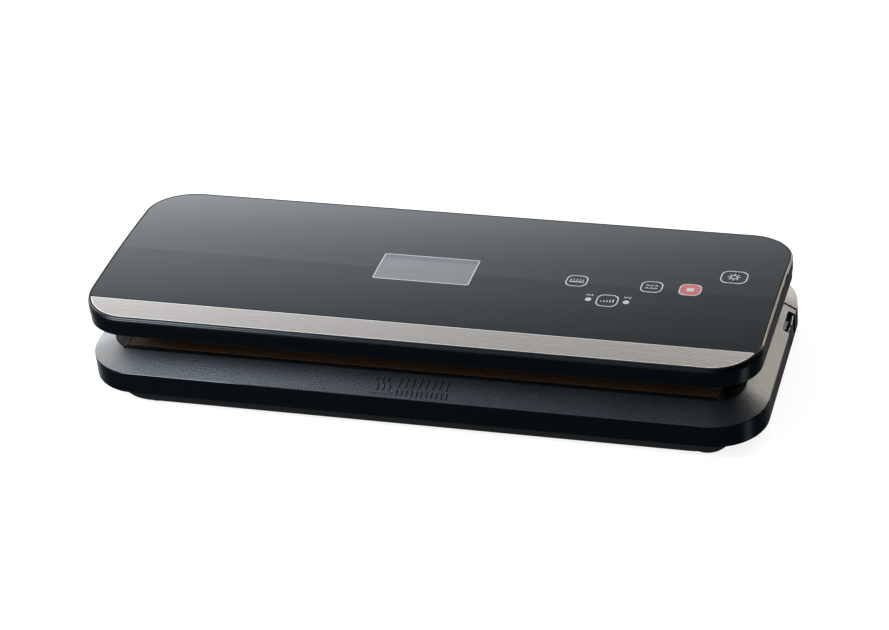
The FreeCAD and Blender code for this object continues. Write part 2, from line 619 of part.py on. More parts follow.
def lid_top_panels():
    """The glass and the trim strip in front of it, both crowned like the lid."""
    panel = lid_prism(GLASS_INSET, LID_Z0, 60).common(crown(0)).cut(crown(GLASS_T))
    half = STRIP_GAP / 2
    glass = panel.common(box(-200, 200, STRIP_REAR + half, 100, 0, 80))
    strip = panel.common(box(-200, 200, -100, STRIP_REAR - half, 0, 80))
    rim = [e for e in strip.Edges if e.BoundBox.ZMin > 49.6 and e.BoundBox.DiagonalLength > 5]
    return glass, strip.makeChamfer(0.25, rim)


def lid_lower_cover():
    plate = lid_prism(3.0, LID_PLATE_Z0, LID_PLATE_Z1)
    plate = plate.common(box(-200, 200, -100, LID_PLATE_REAR, 0, 60))
    tub = prism(TUB_HALF_W, TUB_FRONT, TUB_REAR, 15.5, 6, TUB_Z, LID_PLATE_Z1)
    room = prism(TUB_HALF_W - 2, TUB_FRONT + 2, TUB_REAR - 2, 13.5, 4, TUB_Z + 2, LID_PLATE_Z1 + 1)
    bar_block = box(-BAR_HALF_L - 3, BAR_HALF_L + 3, TUB_FRONT + 0.5, BAR_Y1 + 3, TUB_Z, 35.2)
    chamber_block = prism(158.0, GASKET_Y0 - 1, TUB_REAR - 1, 8, 4, TUB_Z, 36.0)
    bar_block = bar_block.common(prism(TUB_HALF_W, TUB_FRONT, TUB_REAR, 15.5, 6, 0, 60))
    body = plate.fuse(tub).cut(room)
    body = fuse([body, bar_block, chamber_block])
    cuts = [box(-BAR_HALF_L, BAR_HALF_L, BAR_Y0 + 0.8, BAR_Y1 - 0.8, 0, 33.6)]
    cuts.append(ring(GASKET_HALF_W, GASKET_Y0, GASKET_Y1, 12, GASKET_W, 29, 32.0))
    cuts.append(prism(TROUGH_HALF_W + 4, TROUGH_Y0 - 3.5, TROUGH_Y1 + 3.5, 9, 9, 29, 34.0))
    for s in (1, -1):
        x = sorted((s * (LATCH_X + 1.7), s * (LATCH_X + 4.7)))
        cuts.append(box(x[0], x[1], LATCH_Y - 3.1, LATCH_Y + 3.1, 30, 33))
    for x, y in at_all(LID_SCREWS + ARM_SCREWS):
        cuts.append(rod_z(x, y, 40, 44, 1.5))
    posts = [rod_z(x, y, TUB_Z + 3.5, 45.0, 2.5) for x, y in BOARD_POSTS if y < 0]
    posts += [rod_z(x, y, LID_PLATE_Z1, 45.0, 2.5) for x, y in BOARD_POSTS if y > 0]
    return fuse([body.cut(Part.makeCompound(cuts))] + posts)


def pressure_strip():
    return box(-BAR_HALF_L + 0.2, BAR_HALF_L - 0.2, BAR_Y0 + 1.0, BAR_Y1 - 1.0, 29.6, 33.6)


def display_module():
    x0, x1, y0, y1 = DISPLAY
    frame = box(x0 - 4, x1 + 4, y0 - 4, y1 + 4, 44.0, 49.0)
    return frame.common(crown(GLASS_T + 0.1))


def touch_board():
    board = box(52, 170, -33, 24, 45.0, 46.4)
    keys = []
    for x, y in KEYS:
        keys.append(rod_z(x, y, 46.4, 52, 4.2))
    pads = Part.makeCompound(keys).common(crown(GLASS_T + 0.05))
    lamps = Part.makeCompound([rod_z(x, y, 46.4, 49.4, 1.6) for x, y in INDICATORS])
    chips = [box(60, 70, -27, -19, 46.4, 47.8), box(140, 148, -28, -20, 46.4, 47.6)]
    return fuse([board] + chips), pads, lamps


# ---------------------------------------------------------------- assembly
def main():
    os.makedirs("parts", exist_ok=True)
    front, rear = base_shells()
    save("base_shell", front)
    save("rear_cover", rear)
    save("bottom_cover", bottom_cover())
    save("feet", Part.makeCompound([foot(x, y) for x, y in FEET]))
    heads = [screw(x, y, FOOT_H + 0.2, 16.0, 2.9, 1.25, 1.4) for x, y in at_all(BOTTOM_SCREWS)]
    save("bottom_screws", Part.makeCompound(heads))

    carrier, element, tape, clamps = heating_bar()
    save("heating_bar_carrier", carrier)
    save("heating_element", element)
    save("heating_tape", tape)
    save("tape_clamp_right", clamps[0])
    save("tape_clamp_left", clamps[1])
    save("lower_gasket", gasket(28.1, GASKET_TOP))
    save("vacuum_trough", vacuum_trough())

    for name, build in (("release_button", release_button), ("latch_bar", latch_bar),
                        ("hinge_bracket", hinge_bracket), ("hinge_pin", hinge_pin)):
        right, left = both_sides(build())
        save(name + "_right", right)
        save(name + "_left", left)
    for side, sign in (("right", 1), ("left", -1)):
        save("latch_spring_" + side, latch_spring(sign))
        save("hinge_spring_" + side, hinge_spring(sign))
    anchors = [screw(x, y, RIM_Z1 + 2.6, RIM_Z1 - 2.4, 2.4, 1.25, 1.0)
               for x, y in at_all(HINGE_SCREWS)]
    save("hinge_screws", Part.makeCompound(anchors))

    can, rotor = motor()
    housing, cover, yoke = pump_head()
    save("motor_can", can)
    save("motor_rotor", rotor)
    save("pump_housing", housing)
    save("pump_cover", cover)
    save("pump_yoke", yoke)
    body, plunger = solenoid()
    save("valve_body", body)
    save("valve_plunger", plunger)
    save("pressure_sensor", pressure_sensor())
    hose_in, hose_out = air_hoses()
    save("trough_hose", hose_in)
    save("valve_hose", hose_out)
    board, posts, screws, core, winding, capacitors, sink = power_board()
    save("power_board", board)
    save("board_posts", posts)
    save("board_screws", screws)
    save("transformer_core", core)
    save("transformer_winding", winding)
    save("capacitors", capacitors)
    save("heat_sink", sink)
    inlet, pins = power_inlet()
    save("power_inlet", inlet)
    save("inlet_pins", pins)

    glass, strip = lid_top_panels()
    board, pads, lamps = touch_board()
    on_lid = {
        "lid_frame": lid_frame(),
        "glass_panel": glass,
        "trim_strip": strip,
        "lid_lower_cover": lid_lower_cover(),
        "upper_gasket": gasket(GASKET_TOP + 0.1, 32.0),
        "pressure_strip": pressure_strip(),
        "display_module": display_module(),
        "touch_board": board,
        "touch_pads": pads,
        "indicator_lamps": lamps,
        "lid_screws": Part.makeCompound([screw(x, y, LID_PLATE_Z0 - 0.9, 47.0, 2.4, 1.1, 0.9)
                                         for x, y in at_all(LID_SCREWS + ARM_SCREWS)]),
    }
    for name, build in (("latch_striker", latch_striker), ("hinge_arm", hinge_arm)):
        right, left = both_sides(build())
        on_lid[name + "_right"] = right
        on_lid[name + "_left"] = left
    for name, shape in on_lid.items():
        save(name, raised(shape))


main()
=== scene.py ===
import json
import math

import bmesh
import bpy
from mathutils import Matrix, Vector
from mathutils.bvhtree import BVHTree


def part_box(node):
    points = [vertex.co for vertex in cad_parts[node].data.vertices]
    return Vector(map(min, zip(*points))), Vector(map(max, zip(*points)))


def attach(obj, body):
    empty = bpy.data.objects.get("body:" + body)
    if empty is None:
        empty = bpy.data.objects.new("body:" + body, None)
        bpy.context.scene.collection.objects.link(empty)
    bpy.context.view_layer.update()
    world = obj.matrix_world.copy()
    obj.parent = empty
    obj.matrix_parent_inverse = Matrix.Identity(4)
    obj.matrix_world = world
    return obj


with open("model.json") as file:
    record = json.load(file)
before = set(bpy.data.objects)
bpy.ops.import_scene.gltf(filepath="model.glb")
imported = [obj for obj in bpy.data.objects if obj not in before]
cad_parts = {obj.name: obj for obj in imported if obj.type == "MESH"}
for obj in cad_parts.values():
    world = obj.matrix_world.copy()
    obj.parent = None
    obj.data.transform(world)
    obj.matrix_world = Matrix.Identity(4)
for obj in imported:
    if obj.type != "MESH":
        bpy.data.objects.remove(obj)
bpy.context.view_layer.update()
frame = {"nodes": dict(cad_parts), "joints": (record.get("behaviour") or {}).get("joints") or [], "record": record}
nodes = frame["nodes"]

MM = 0.001

# ---------------------------------------------------------------- places taken from the frame
hinge = next(j for j in frame["joints"] if j["name"] == "lid_hinge")
HINGE = Vector(hinge["pos_m"])
LID_TILT = math.radians(hinge["range_deg"][0])
LID_TURN = Matrix.Translation(HINGE) @ Matrix.Rotation(LID_TILT, 4, "X") @ Matrix.Translation(-HINGE)
LID_CLOSE = LID_TURN.inverted()

# ---------------------------------------------------------------- edges and curves the frame doesn't name
WALL_TOP_Z = 21.3 * MM       # where the glossy wall ends and the grained rim starts
RIM_TOP_Z = 28.0 * MM        # where the rim ends and the darker sealing deck starts
SEAM_Y = 36.9 * MM           # the joint between the base shell and the rear cover; the shell colour paints a shadow along it
LID_TOP = 52.88 * MM         # crest of the crowned lid, lid closed
CROWN_R = 854.0 * MM         # radius of that crown, front to rear
CROWN_Y = -5.3 * MM          # where its crest lies
LID_CORNER_R = 25.8 * MM
CLEAR_Z = 80.0 * MM          # a height above everything, to look down from


def surface_of(name):
    """A search tree over one CAD node's mesh, for laying small marks on its surface."""
    mesh = nodes[name].data
    return BVHTree.FromPolygons([v.co for v in mesh.vertices], [list(p.vertices) for p in mesh.polygons])


def corners(points):
    """The lowest and highest corner of the points' box."""
    low = Vector([min(p[i] for p in points) for i in range(3)])
    high = Vector([max(p[i] for p in points) for i in range(3)])
    return low, high


def closed_box(name):
    """The box of one piece of the lid with the lid closed."""
    return corners([LID_CLOSE @ v.co for v in nodes[name].data.vertices])


def shells_of(name):
    """The boxes (lowest, highest corner) of the separate solids of one node, left to right."""
    bm = bmesh.new()
    bm.from_mesh(nodes[name].data)
    bmesh.ops.remove_doubles(bm, verts=bm.verts, dist=1e-6)
    left = set(bm.verts)
    found = []
    while left:
        stack = [left.pop()]
        shell = []
        while stack:
            v = stack.pop()
            shell.append(v.co.copy())
            for e in v.link_edges:
                other = e.other_vert(v)
                if other in left:
                    left.remove(other)
                    stack.append(other)
        found.append(corners(shell))
    bm.free()
    return sorted(found, key=lambda b: b[0].x)


glass_surface = surface_of("glass_panel")
base_surface = surface_of("base_shell")


def on_glass(x, y, lift):
    """A point on the glass, x and y measured on the closed lid, raised by lift."""
    start = LID_TURN @ Vector((x, y, CLEAR_Z))
    down = LID_TURN.to_3x3() @ Vector((0, 0, -1))
    hit, _, _, _ = glass_surface.ray_cast(start, down)
    return hit - down * lift


def on_crown(x, y, lift):
    """A point on the lid's whole crowned top, over the gap at the panels' edge as well."""
    z = LID_TOP - CROWN_R + math.sqrt(CROWN_R ** 2 - (y - CROWN_Y) ** 2)
    return LID_TURN @ Vector((x, y, z + lift))


def on_base(x, y, lift):
    """A point on the base shell's outer face, raised by lift along the face's normal."""
    hit, normal, _, _ = base_surface.ray_cast(Vector((x, y, CLEAR_Z)), Vector((0, 0, -1)))
    return hit + normal * lift


# ---------------------------------------------------------------- material helpers
class Nodes:
    """A short way to write a node tree: one shader and what feeds it."""

    def __init__(self, name):
        self.material = bpy.data.materials.new(name)
        self.material.use_nodes = True
        self.tree = self.material.node_tree
        self.shader = self.tree.nodes["Principled BSDF"]
        self.place = self.tree.nodes.new("ShaderNodeTexCoord").outputs["Object"]

    def set(self, **values):
        """Sets values on the shader's own sockets; an underscore stands for a space."""
        for key, value in values.items():
            self.shader.inputs[key.replace("_", " ")].default_value = value
        return self

    def add(self, kind, inputs=(), **props):
        node = self.tree.nodes.new("ShaderNode" + kind)
        for key, value in props.items():
            setattr(node, key, value)
        for key, value in dict(inputs).items():
            if isinstance(value, bpy.types.NodeSocket):
                self.tree.links.new(value, node.inputs[key])
            else:
                node.inputs[key].default_value = value
        return node

    def stretched(self, scale):
        """The object's own coordinates, scaled along each axis."""
        return self.add("Mapping", {"Vector": self.place, "Scale": scale}).outputs["Vector"]

    def noise(self, scale, detail=3.0, roughness=0.55, at=None):
        inputs = {"Vector": at or self.place, "Scale": scale, "Detail": detail, "Roughness": roughness}
        return self.add("TexNoise", inputs).outputs["Fac"]

    def cells(self, scale, feature="SMOOTH_F1", smooth=0.4, at=None):
        inputs = {"Vector": at or self.place, "Scale": scale}
        node = self.add("TexVoronoi", inputs, feature=feature)
        if feature == "SMOOTH_F1":
            node.inputs["Smoothness"].default_value = smooth
        return node.outputs["Distance"]

    def ramp(self, value, low, high, out_low, out_high):
        """value mapped from low..high to out_low..out_high and held there."""
        inputs = {"Value": value, "From Min": low, "From Max": high, "To Min": out_low, "To Max": out_high}
        return self.add("MapRange", inputs).outputs["Result"]

    def blend_colours(self, factor, a, b):
        node = self.add("Mix", data_type="RGBA")
        self.link(factor, node.inputs["Factor"])
        for socket, colour in ((node.inputs[6], a), (node.inputs[7], b)):
            if isinstance(colour, bpy.types.NodeSocket):
                self.link(colour, socket)
            else:
                socket.default_value = (*colour, 1.0)
        return node.outputs[2]

    def math(self, operation, a, b=0.0):
        node = self.add("Math", operation=operation)
        for socket, value in zip(node.inputs, (a, b)):
            if isinstance(value, bpy.types.NodeSocket):
                self.link(value, socket)
            else:
                socket.default_value = value
        return node.outputs[0]

    def link(self, source, target):
        self.tree.links.new(source, target)

    def to(self, name, source):
        self.link(source, self.shader.inputs[name])
        return self

    def bump(self, height, depth, strength=1.0, after=None):
        inputs = {"Height": height, "Distance": depth, "Strength": strength}
        node = self.add("Bump", inputs)
        if after is not None:
            self.link(after, node.inputs["Normal"])
        return node.outputs["Normal"]


def grey(level, blue=1.0):
    return (level, level, level * blue)


def smudged(m, low, high, scale=25.0):
    """Roughness that drifts a little over the surface, as handled plastic does."""
    m.to("Roughness", m.ramp(m.noise(scale, 4.0), 0.35, 0.7, low, high))


# ---------------------------------------------------------------- materials
def grained_shell():
    """Moulded ABS: leather grain on the rim and deck, polished wall below the rim edge."""
    m = Nodes("grained_shell")
    height = m.add("SeparateXYZ", {"Vector": m.place}).outputs["Z"]
    grained = m.ramp(height, WALL_TOP_Z - 0.15 * MM, WALL_TOP_Z + 0.05 * MM, 0.0, 1.0)
    pebbles = m.cells(1150.0)
    fine = m.noise(2600.0, 2.0)
    leather = m.math("ADD", m.math("MULTIPLY", pebbles, 0.8), m.math("MULTIPLY", fine, 0.35))
    relief = m.math("MULTIPLY", leather, grained)
    m.to("Normal", m.bump(relief, 0.12 * MM, 0.9))
    tone = m.ramp(pebbles, 0.1, 0.7, 0.0, 1.0)
    rim_colour = m.blend_colours(tone, (0.024, 0.026, 0.030), (0.011, 0.012, 0.014))
    deck = m.ramp(height, RIM_TOP_Z + 0.02 * MM, RIM_TOP_Z + 0.2 * MM, 0.0, 1.0)
    grain_colour = m.blend_colours(deck, rim_colour, (0.004, 0.0045, 0.005))
    # painted shadow: in a band about 2 mm wide along the seam, the shell turns near black and its specular drops,
    # standing in for shade in the joint
    across = m.add("SeparateXYZ", {"Vector": m.place}).outputs["Y"]
    from_seam = m.math("ABSOLUTE", m.math("SUBTRACT", across, SEAM_Y))
    seam_painted_shadow = m.ramp(from_seam, 0.85 * MM, 1.0 * MM, 1.0, 0.0)
    plain = m.blend_colours(grained, (0.0022, 0.0026, 0.0030), grain_colour)
    m.to("Base Color", m.blend_colours(seam_painted_shadow, plain, grey(0.001)))
    dull = m.math("MAXIMUM", seam_painted_shadow, m.math("MULTIPLY", deck, 0.9))
    m.to("Specular IOR Level", m.ramp(dull, 0.0, 1.0, 0.5, 0.05))
    drift = m.ramp(m.noise(30.0), 0.35, 0.7, 0.40, 0.50)
    gloss = m.ramp(m.noise(18.0), 0.35, 0.7, 0.07, 0.13)
    rough = m.add("Mix", {"Factor": grained, "A": gloss, "B": drift}, data_type="FLOAT")
    m.to("Roughness", rough.outputs["Result"])
    return m.material


def moulded(name, dark, light, rough, grain=1800.0, depth=0.04):
    """Plain moulded plastic with spark-eroded texture."""
    m = Nodes(name)
    texture = m.noise(grain, 3.0, 0.6)
    m.to("Base Color", m.blend_colours(m.noise(60.0, 4.0), dark, light))
    m.to("Normal", m.bump(texture, depth * MM, 0.8))
    smudged(m, rough - 0.05, rough + 0.06)
    return m.material


def gloss_plastic(name, colour, rough=0.06):
    """Polished plastic: faint orange peel and handling haze."""
    m = Nodes(name)
    peel = m.noise(240.0, 2.0)
    m.to("Normal", m.bump(peel, 0.012 * MM, 0.5))
    lighter = tuple(min(1.0, c * 1.25) for c in colour)
    m.to("Base Color", m.blend_colours(m.noise(35.0), colour, lighter))
    smudged(m, rough, rough + 0.05, 22.0)
    m.set(IOR=1.5)
    return m.material


def lid_gloss():
    """Polished plastic; the shoulder below the top edge is softer and rolls off smoothly."""
    m = Nodes("lid_gloss")
    axis = Vector((0, CROWN_Y, LID_TOP - CROWN_R))
    moved = LID_CLOSE.translation - axis
    inputs = {"Vector": m.place, "Location": (0, moved.y, moved.z), "Rotation": (-LID_TILT, 0, 0),
              "Scale": (0, 1, 1)}
    to_crown = m.add("VectorMath", {0: m.add("Mapping", inputs).outputs["Vector"]}, operation="LENGTH")
    depth = m.math("SUBTRACT", CROWN_R, to_crown.outputs["Value"])
    shoulder = m.ramp(depth, 0.9 * MM, 3.3 * MM, 1.0, 0.0)
    rolled = m.math("MULTIPLY", m.math("POWER", shoulder, 2.0), -1.0)
    roll = m.bump(rolled, 0.85 * MM, 1.0)
    m.to("Normal", m.bump(m.noise(240.0, 2.0), 0.012 * MM, 0.5, roll))
    m.to("Base Color", m.blend_colours(m.noise(35.0), (0.0014, 0.0018, 0.0024), (0.0018, 0.0023, 0.0030)))
    gloss = m.ramp(m.noise(22.0, 4.0), 0.35, 0.7, 0.05, 0.10)
    soft = m.ramp(depth, 2.4 * MM, 3.3 * MM, 0.16, 0.0)
    m.to("Roughness", m.math("ADD", gloss, soft))
    m.to("Specular IOR Level", m.ramp(depth, 2.4 * MM, 3.3 * MM, 0.22, 0.5))
    m.set(IOR=1.5)
    return m.material


def panel_glass():
    """Tempered glass with a black print under it: deep, even gloss with faint wiping haze."""
    m = Nodes("panel_glass")
    waves = m.noise(9.0, 1.0, at=m.stretched((1.0, 2.2, 1.0)))
    m.to("Normal", m.bump(waves, 0.03 * MM, 0.25))
    m.to("Base Color", m.blend_colours(m.noise(6.0, 2.0), (0.0022, 0.0028, 0.0034), (0.0034, 0.0040, 0.0046)))
    haze = m.noise(14.0, 5.0, 0.65, at=m.stretched((1.0, 3.0, 1.0)))
    m.to("Roughness", m.ramp(haze, 0.35, 0.75, 0.035, 0.09))
    m.set(IOR=1.52)
    return m.material


def brushed_metal(name, colour, darker, rough, along=(1.0, 1.0, 1.0), lines=2600.0, depth=0.01, spread=0.06):
    """Metal brushed along the axis whose entry in along is small."""
    m = Nodes(name)
    streaks = m.noise(lines, 3.0, 0.7, at=m.stretched(along))
    wide = m.noise(lines * 0.12, 2.0, 0.6, at=m.stretched(along))
    mixed = m.math("ADD", m.math("MULTIPLY", streaks, 0.6), m.math("MULTIPLY", wide, 0.4))
    m.to("Base Color", m.blend_colours(m.ramp(mixed, 0.3, 0.7, 0.0, 1.0), darker, colour))
    m.to("Roughness", m.ramp(mixed, 0.3, 0.7, rough - spread, rough + spread))
    m.to("Normal", m.bump(mixed, depth * MM, 0.6))
    m.set(Metallic=1.0)
    return m.material


def rubber(name, dark, light, rough=0.7, specular=0.35):
    """Rubber or silicone: fine pores and a dull, uneven gloss."""
    m = Nodes(name)
    pores = m.cells(900.0)
    m.to("Base Color", m.blend_colours(m.noise(120.0, 4.0), dark, light))
    m.to("Normal", m.bump(m.math("ADD", pores, m.noise(1900.0)), 0.06 * MM, 0.6))
    smudged(m, rough - 0.08, rough + 0.08)
    m.set(Specular_IOR_Level=specular)
    return m.material


def foam(name, dark, light):
    """Closed-cell foam: open pores on a soft matt body."""
    m = Nodes(name)
    cells = m.cells(1500.0, "F1")
    m.to("Base Color", m.blend_colours(m.ramp(cells, 0.0, 0.6, 0.0, 1.0), dark, light))
    m.to("Normal", m.bump(cells, 0.2 * MM, 0.8))
    m.to("Roughness", m.ramp(m.noise(400.0), 0.3, 0.7, 0.8, 0.95))
    m.set(Specular_IOR_Level=0.2, Sheen_Weight=0.15)
    return m.material


def heating_tape():
    """PTFE-coated glass cloth: a plain weave under a brown satin film."""
    m = Nodes("heating_tape")
    pitch = 2 * math.pi / (0.62 * MM)
    parts = m.add("SeparateXYZ", {"Vector": m.place})
    warp = m.math("SINE", m.math("MULTIPLY", parts.outputs["X"], pitch), 0.0)
    weft = m.math("SINE", m.math("MULTIPLY", parts.outputs["Y"], pitch), 0.0)
    cloth = m.math("MULTIPLY", warp, weft)
    creases = m.noise(160.0, 2.0, 0.5, at=m.stretched((0.5, 1.6, 1.0)))
    m.to("Normal", m.bump(cloth, 0.03 * MM, 0.8, m.bump(creases, 0.5 * MM, 0.5)))
    worn = m.noise(70.0, 5.0, 0.6)
    weave = m.ramp(cloth, -1.0, 1.0, 0.35, 0.65)
    base = m.blend_colours(m.math("MULTIPLY", weave, worn), (0.150, 0.072, 0.034), (0.055, 0.026, 0.013))
    m.to("Base Color", base)
    m.to("Roughness", m.ramp(worn, 0.3, 0.7, 0.28, 0.45))
    m.set(Specular_IOR_Level=0.3, Specular_Tint=(1.0, 0.72, 0.50, 1.0))
    return m.material


def display_face():
    """An unlit segment display: pale grey-blue with a darker band along its upper edge."""
    m = Nodes("display")
    low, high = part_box("display_module")
    y = m.add("SeparateXYZ", {"Vector": m.place}).outputs["Y"]
    band = m.ramp(y, high.y - 9.5 * MM, high.y - 7.5 * MM, 0.0, 1.0)
    rows = m.noise(5000.0, 1.0, at=m.stretched((0.02, 1.0, 1.0)))
    lit = m.blend_colours(m.ramp(rows, 0.3, 0.7, 0.0, 1.0), (0.111, 0.114, 0.119), (0.121, 0.124, 0.130))
    m.to("Base Color", m.blend_colours(band, lit, (0.088, 0.090, 0.098)))
    m.to("Roughness", m.ramp(m.noise(200.0), 0.3, 0.7, 0.16, 0.24))
    m.set(IOR=1.45)
    return m.material


def ink(name, colour, spread=0.06):
    """Screen-printed ink: matt, slightly uneven in cover."""
    m = Nodes(name)
    cover = m.noise(900.0, 3.0)
    thin = tuple(c * (1.0 - spread) for c in colour)
    m.to("Base Color", m.blend_colours(m.ramp(cover, 0.35, 0.65, 0.0, 1.0), thin, colour))
    m.to("Normal", m.bump(cover, 0.01 * MM, 0.4))
    m.to("Roughness", m.ramp(cover, 0.3, 0.7, 0.38, 0.5))
    return m.material


def clear_silicone():
    """Milky silicone hose."""
    m = Nodes("hose_silicone")
    m.to("Base Color", m.blend_colours(m.noise(90.0), (0.60, 0.60, 0.56), (0.72, 0.72, 0.69)))
    m.to("Roughness", m.ramp(m.noise(300.0), 0.3, 0.7, 0.3, 0.45))
    m.to("Normal", m.bump(m.noise(700.0), 0.03 * MM, 0.5))
    m.set(Subsurface_Weight=0.35, Subsurface_Scale=0.003)
    return m.material


def circuit_board():
    """Solder mask over copper tracks."""
    m = Nodes("board_green")
    tracks = m.cells(260.0, "F1")
    edge = m.ramp(tracks, 0.32, 0.36, 0.0, 1.0)
    m.to("Base Color", m.blend_colours(edge, (0.012, 0.075, 0.030), (0.020, 0.115, 0.050)))
    m.to("Normal", m.bump(edge, 0.04 * MM, 0.6))
    m.to("Roughness", m.ramp(m.noise(150.0), 0.3, 0.7, 0.25, 0.38))
    return m.material


def wound_tape():
    """Yellow tape wound around the transformer."""
    m = Nodes("winding_tape")
    turns = m.noise(1500.0, 1.0, at=m.stretched((0.03, 0.03, 1.0)))
    m.to("Base Color", m.blend_colours(turns, (0.50, 0.33, 0.03), (0.72, 0.52, 0.08)))
    m.to("Normal", m.bump(turns, 0.05 * MM, 0.6))
    smudged(m, 0.3, 0.42)
    return m.material


MATERIALS = {
    "grained_shell": grained_shell,
    "tray_plastic": lambda: moulded("tray_plastic", (0.0075, 0.008, 0.0075), (0.012, 0.0125, 0.0115), 0.55),
    "foot_rubber": lambda: rubber("foot_rubber", grey(0.010), grey(0.018)),
    "screw_steel": lambda: brushed_metal("screw_steel", grey(0.55), grey(0.38), 0.32),
    "carrier_plastic": lambda: moulded("carrier_plastic", grey(0.003), grey(0.005), 0.6),
    "element_steel": lambda: brushed_metal("element_steel", (0.58, 0.55, 0.50), (0.40, 0.37, 0.33), 0.3,
                                           (0.03, 1.0, 1.0)),
    "heating_tape": heating_tape,
    "gasket_foam": lambda: foam("gasket_foam", grey(0.008), grey(0.028)),
    "silicone_strip": lambda: rubber("silicone_strip", grey(0.06), grey(0.085), 0.5),
    "trough_plastic": lambda: gloss_plastic("trough_plastic", grey(0.008), 0.12),
    "motor_steel": lambda: brushed_metal("motor_steel", grey(0.60), grey(0.45), 0.28, (1.0, 0.05, 0.05)),
    "inner_plastic": lambda: moulded("inner_plastic", grey(0.014), grey(0.022), 0.42),
    "white_plastic": lambda: moulded("white_plastic", (0.62, 0.62, 0.59), (0.70, 0.70, 0.67), 0.38),
    "hose_silicone": clear_silicone,
    "board_green": circuit_board,
    "ferrite": lambda: moulded("ferrite", grey(0.035), grey(0.055), 0.6, 900.0, 0.08),
    "winding_tape": wound_tape,
    "capacitor_sleeve": lambda: gloss_plastic("capacitor_sleeve", (0.012, 0.018, 0.055), 0.2),
    "heat_sink_metal": lambda: brushed_metal("heat_sink_metal", grey(0.66), grey(0.5), 0.35,
                                             (1.0, 1.0, 0.03)),
    "contact_brass": lambda: brushed_metal("contact_brass", (0.72, 0.56, 0.28), (0.55, 0.42, 0.2), 0.25,
                                           (1.0, 0.04, 1.0)),
    "lid_gloss": lid_gloss,
    "panel_glass": panel_glass,
    "trim_metal": lambda: brushed_metal("trim_metal", (0.475, 0.436, 0.405), (0.462, 0.423, 0.392), 0.27,
                                        (0.010, 1.0, 1.0), 4200.0, 0.0009, 0.012),
    "lid_satin": lambda: moulded("lid_satin", grey(0.008, 1.1), grey(0.013, 1.1), 0.36),
    "display": display_face,
    "touch_foam": lambda: foam("touch_foam", grey(0.03), grey(0.07)),
    "lamp_lens": lambda: gloss_plastic("lamp_lens", (0.70, 0.70, 0.68), 0.2),
    "spring_steel": lambda: brushed_metal("spring_steel", grey(0.5), grey(0.35), 0.22),
    "bracket_steel": lambda: moulded("bracket_steel", grey(0.016), grey(0.024), 0.35, 1100.0, 0.05),
    "button_gloss": lambda: gloss_plastic("button_gloss", (0.0040, 0.0045, 0.0050)),
}
slot_of = {part["node"]: part["material_slot"] for part in frame["record"]["subparts"]}
made = {slot: build() for slot, build in MATERIALS.items()}
for name, obj in nodes.items():
    for index in range(len(obj.material_slots)):
        obj.material_slots[index].material = made[slot_of[name]]


# ---------------------------------------------------------------- mesh helpers
def piece(name, vertices, faces, material, body):
    mesh = bpy.data.meshes.new(name)
    mesh.from_pydata([tuple(v) for v in vertices], [], faces)
    mesh.materials.append(material)
    mesh.update()
    bm = bmesh.new()
    bm.from_mesh(mesh)
    bmesh.ops.recalc_face_normals(bm, faces=bm.faces)
    bm.to_mesh(mesh)
    bm.free()
    obj = bpy.data.objects.new(name, mesh)
    bpy.context.scene.collection.objects.link(obj)
    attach(obj, body)


def rounded_rectangle(cx, cy, width, height, radius, steps=7, bulge=0.0):
    """Corner-rounded outline points, anticlockwise; bulge swells the long sides outwards."""
    points = []
    for sx, sy, start in ((1, 1, 0), (-1, 1, 90), (-1, -1, 180), (1, -1, 270)):
        ox = cx + sx * (width / 2 - radius)
        oy = cy + sy * (height / 2 - radius)
        for i in range(steps + 1):
            a = math.radians(start + 90 * i / steps)
            points.append((ox + radius * math.cos(a), oy + radius * math.sin(a)))
    if bulge:
        half = width / 2
        points = [(x, y + bulge * (y - cy) / (height / 2) * (1 - ((x - cx) / half) ** 2)) for x, y in points]
    return points


def circle(cx, cy, radius, steps=28):
    return [(cx + radius * math.cos(2 * math.pi * i / steps), cy + radius * math.sin(2 * math.pi * i / steps))
            for i in range(steps)]


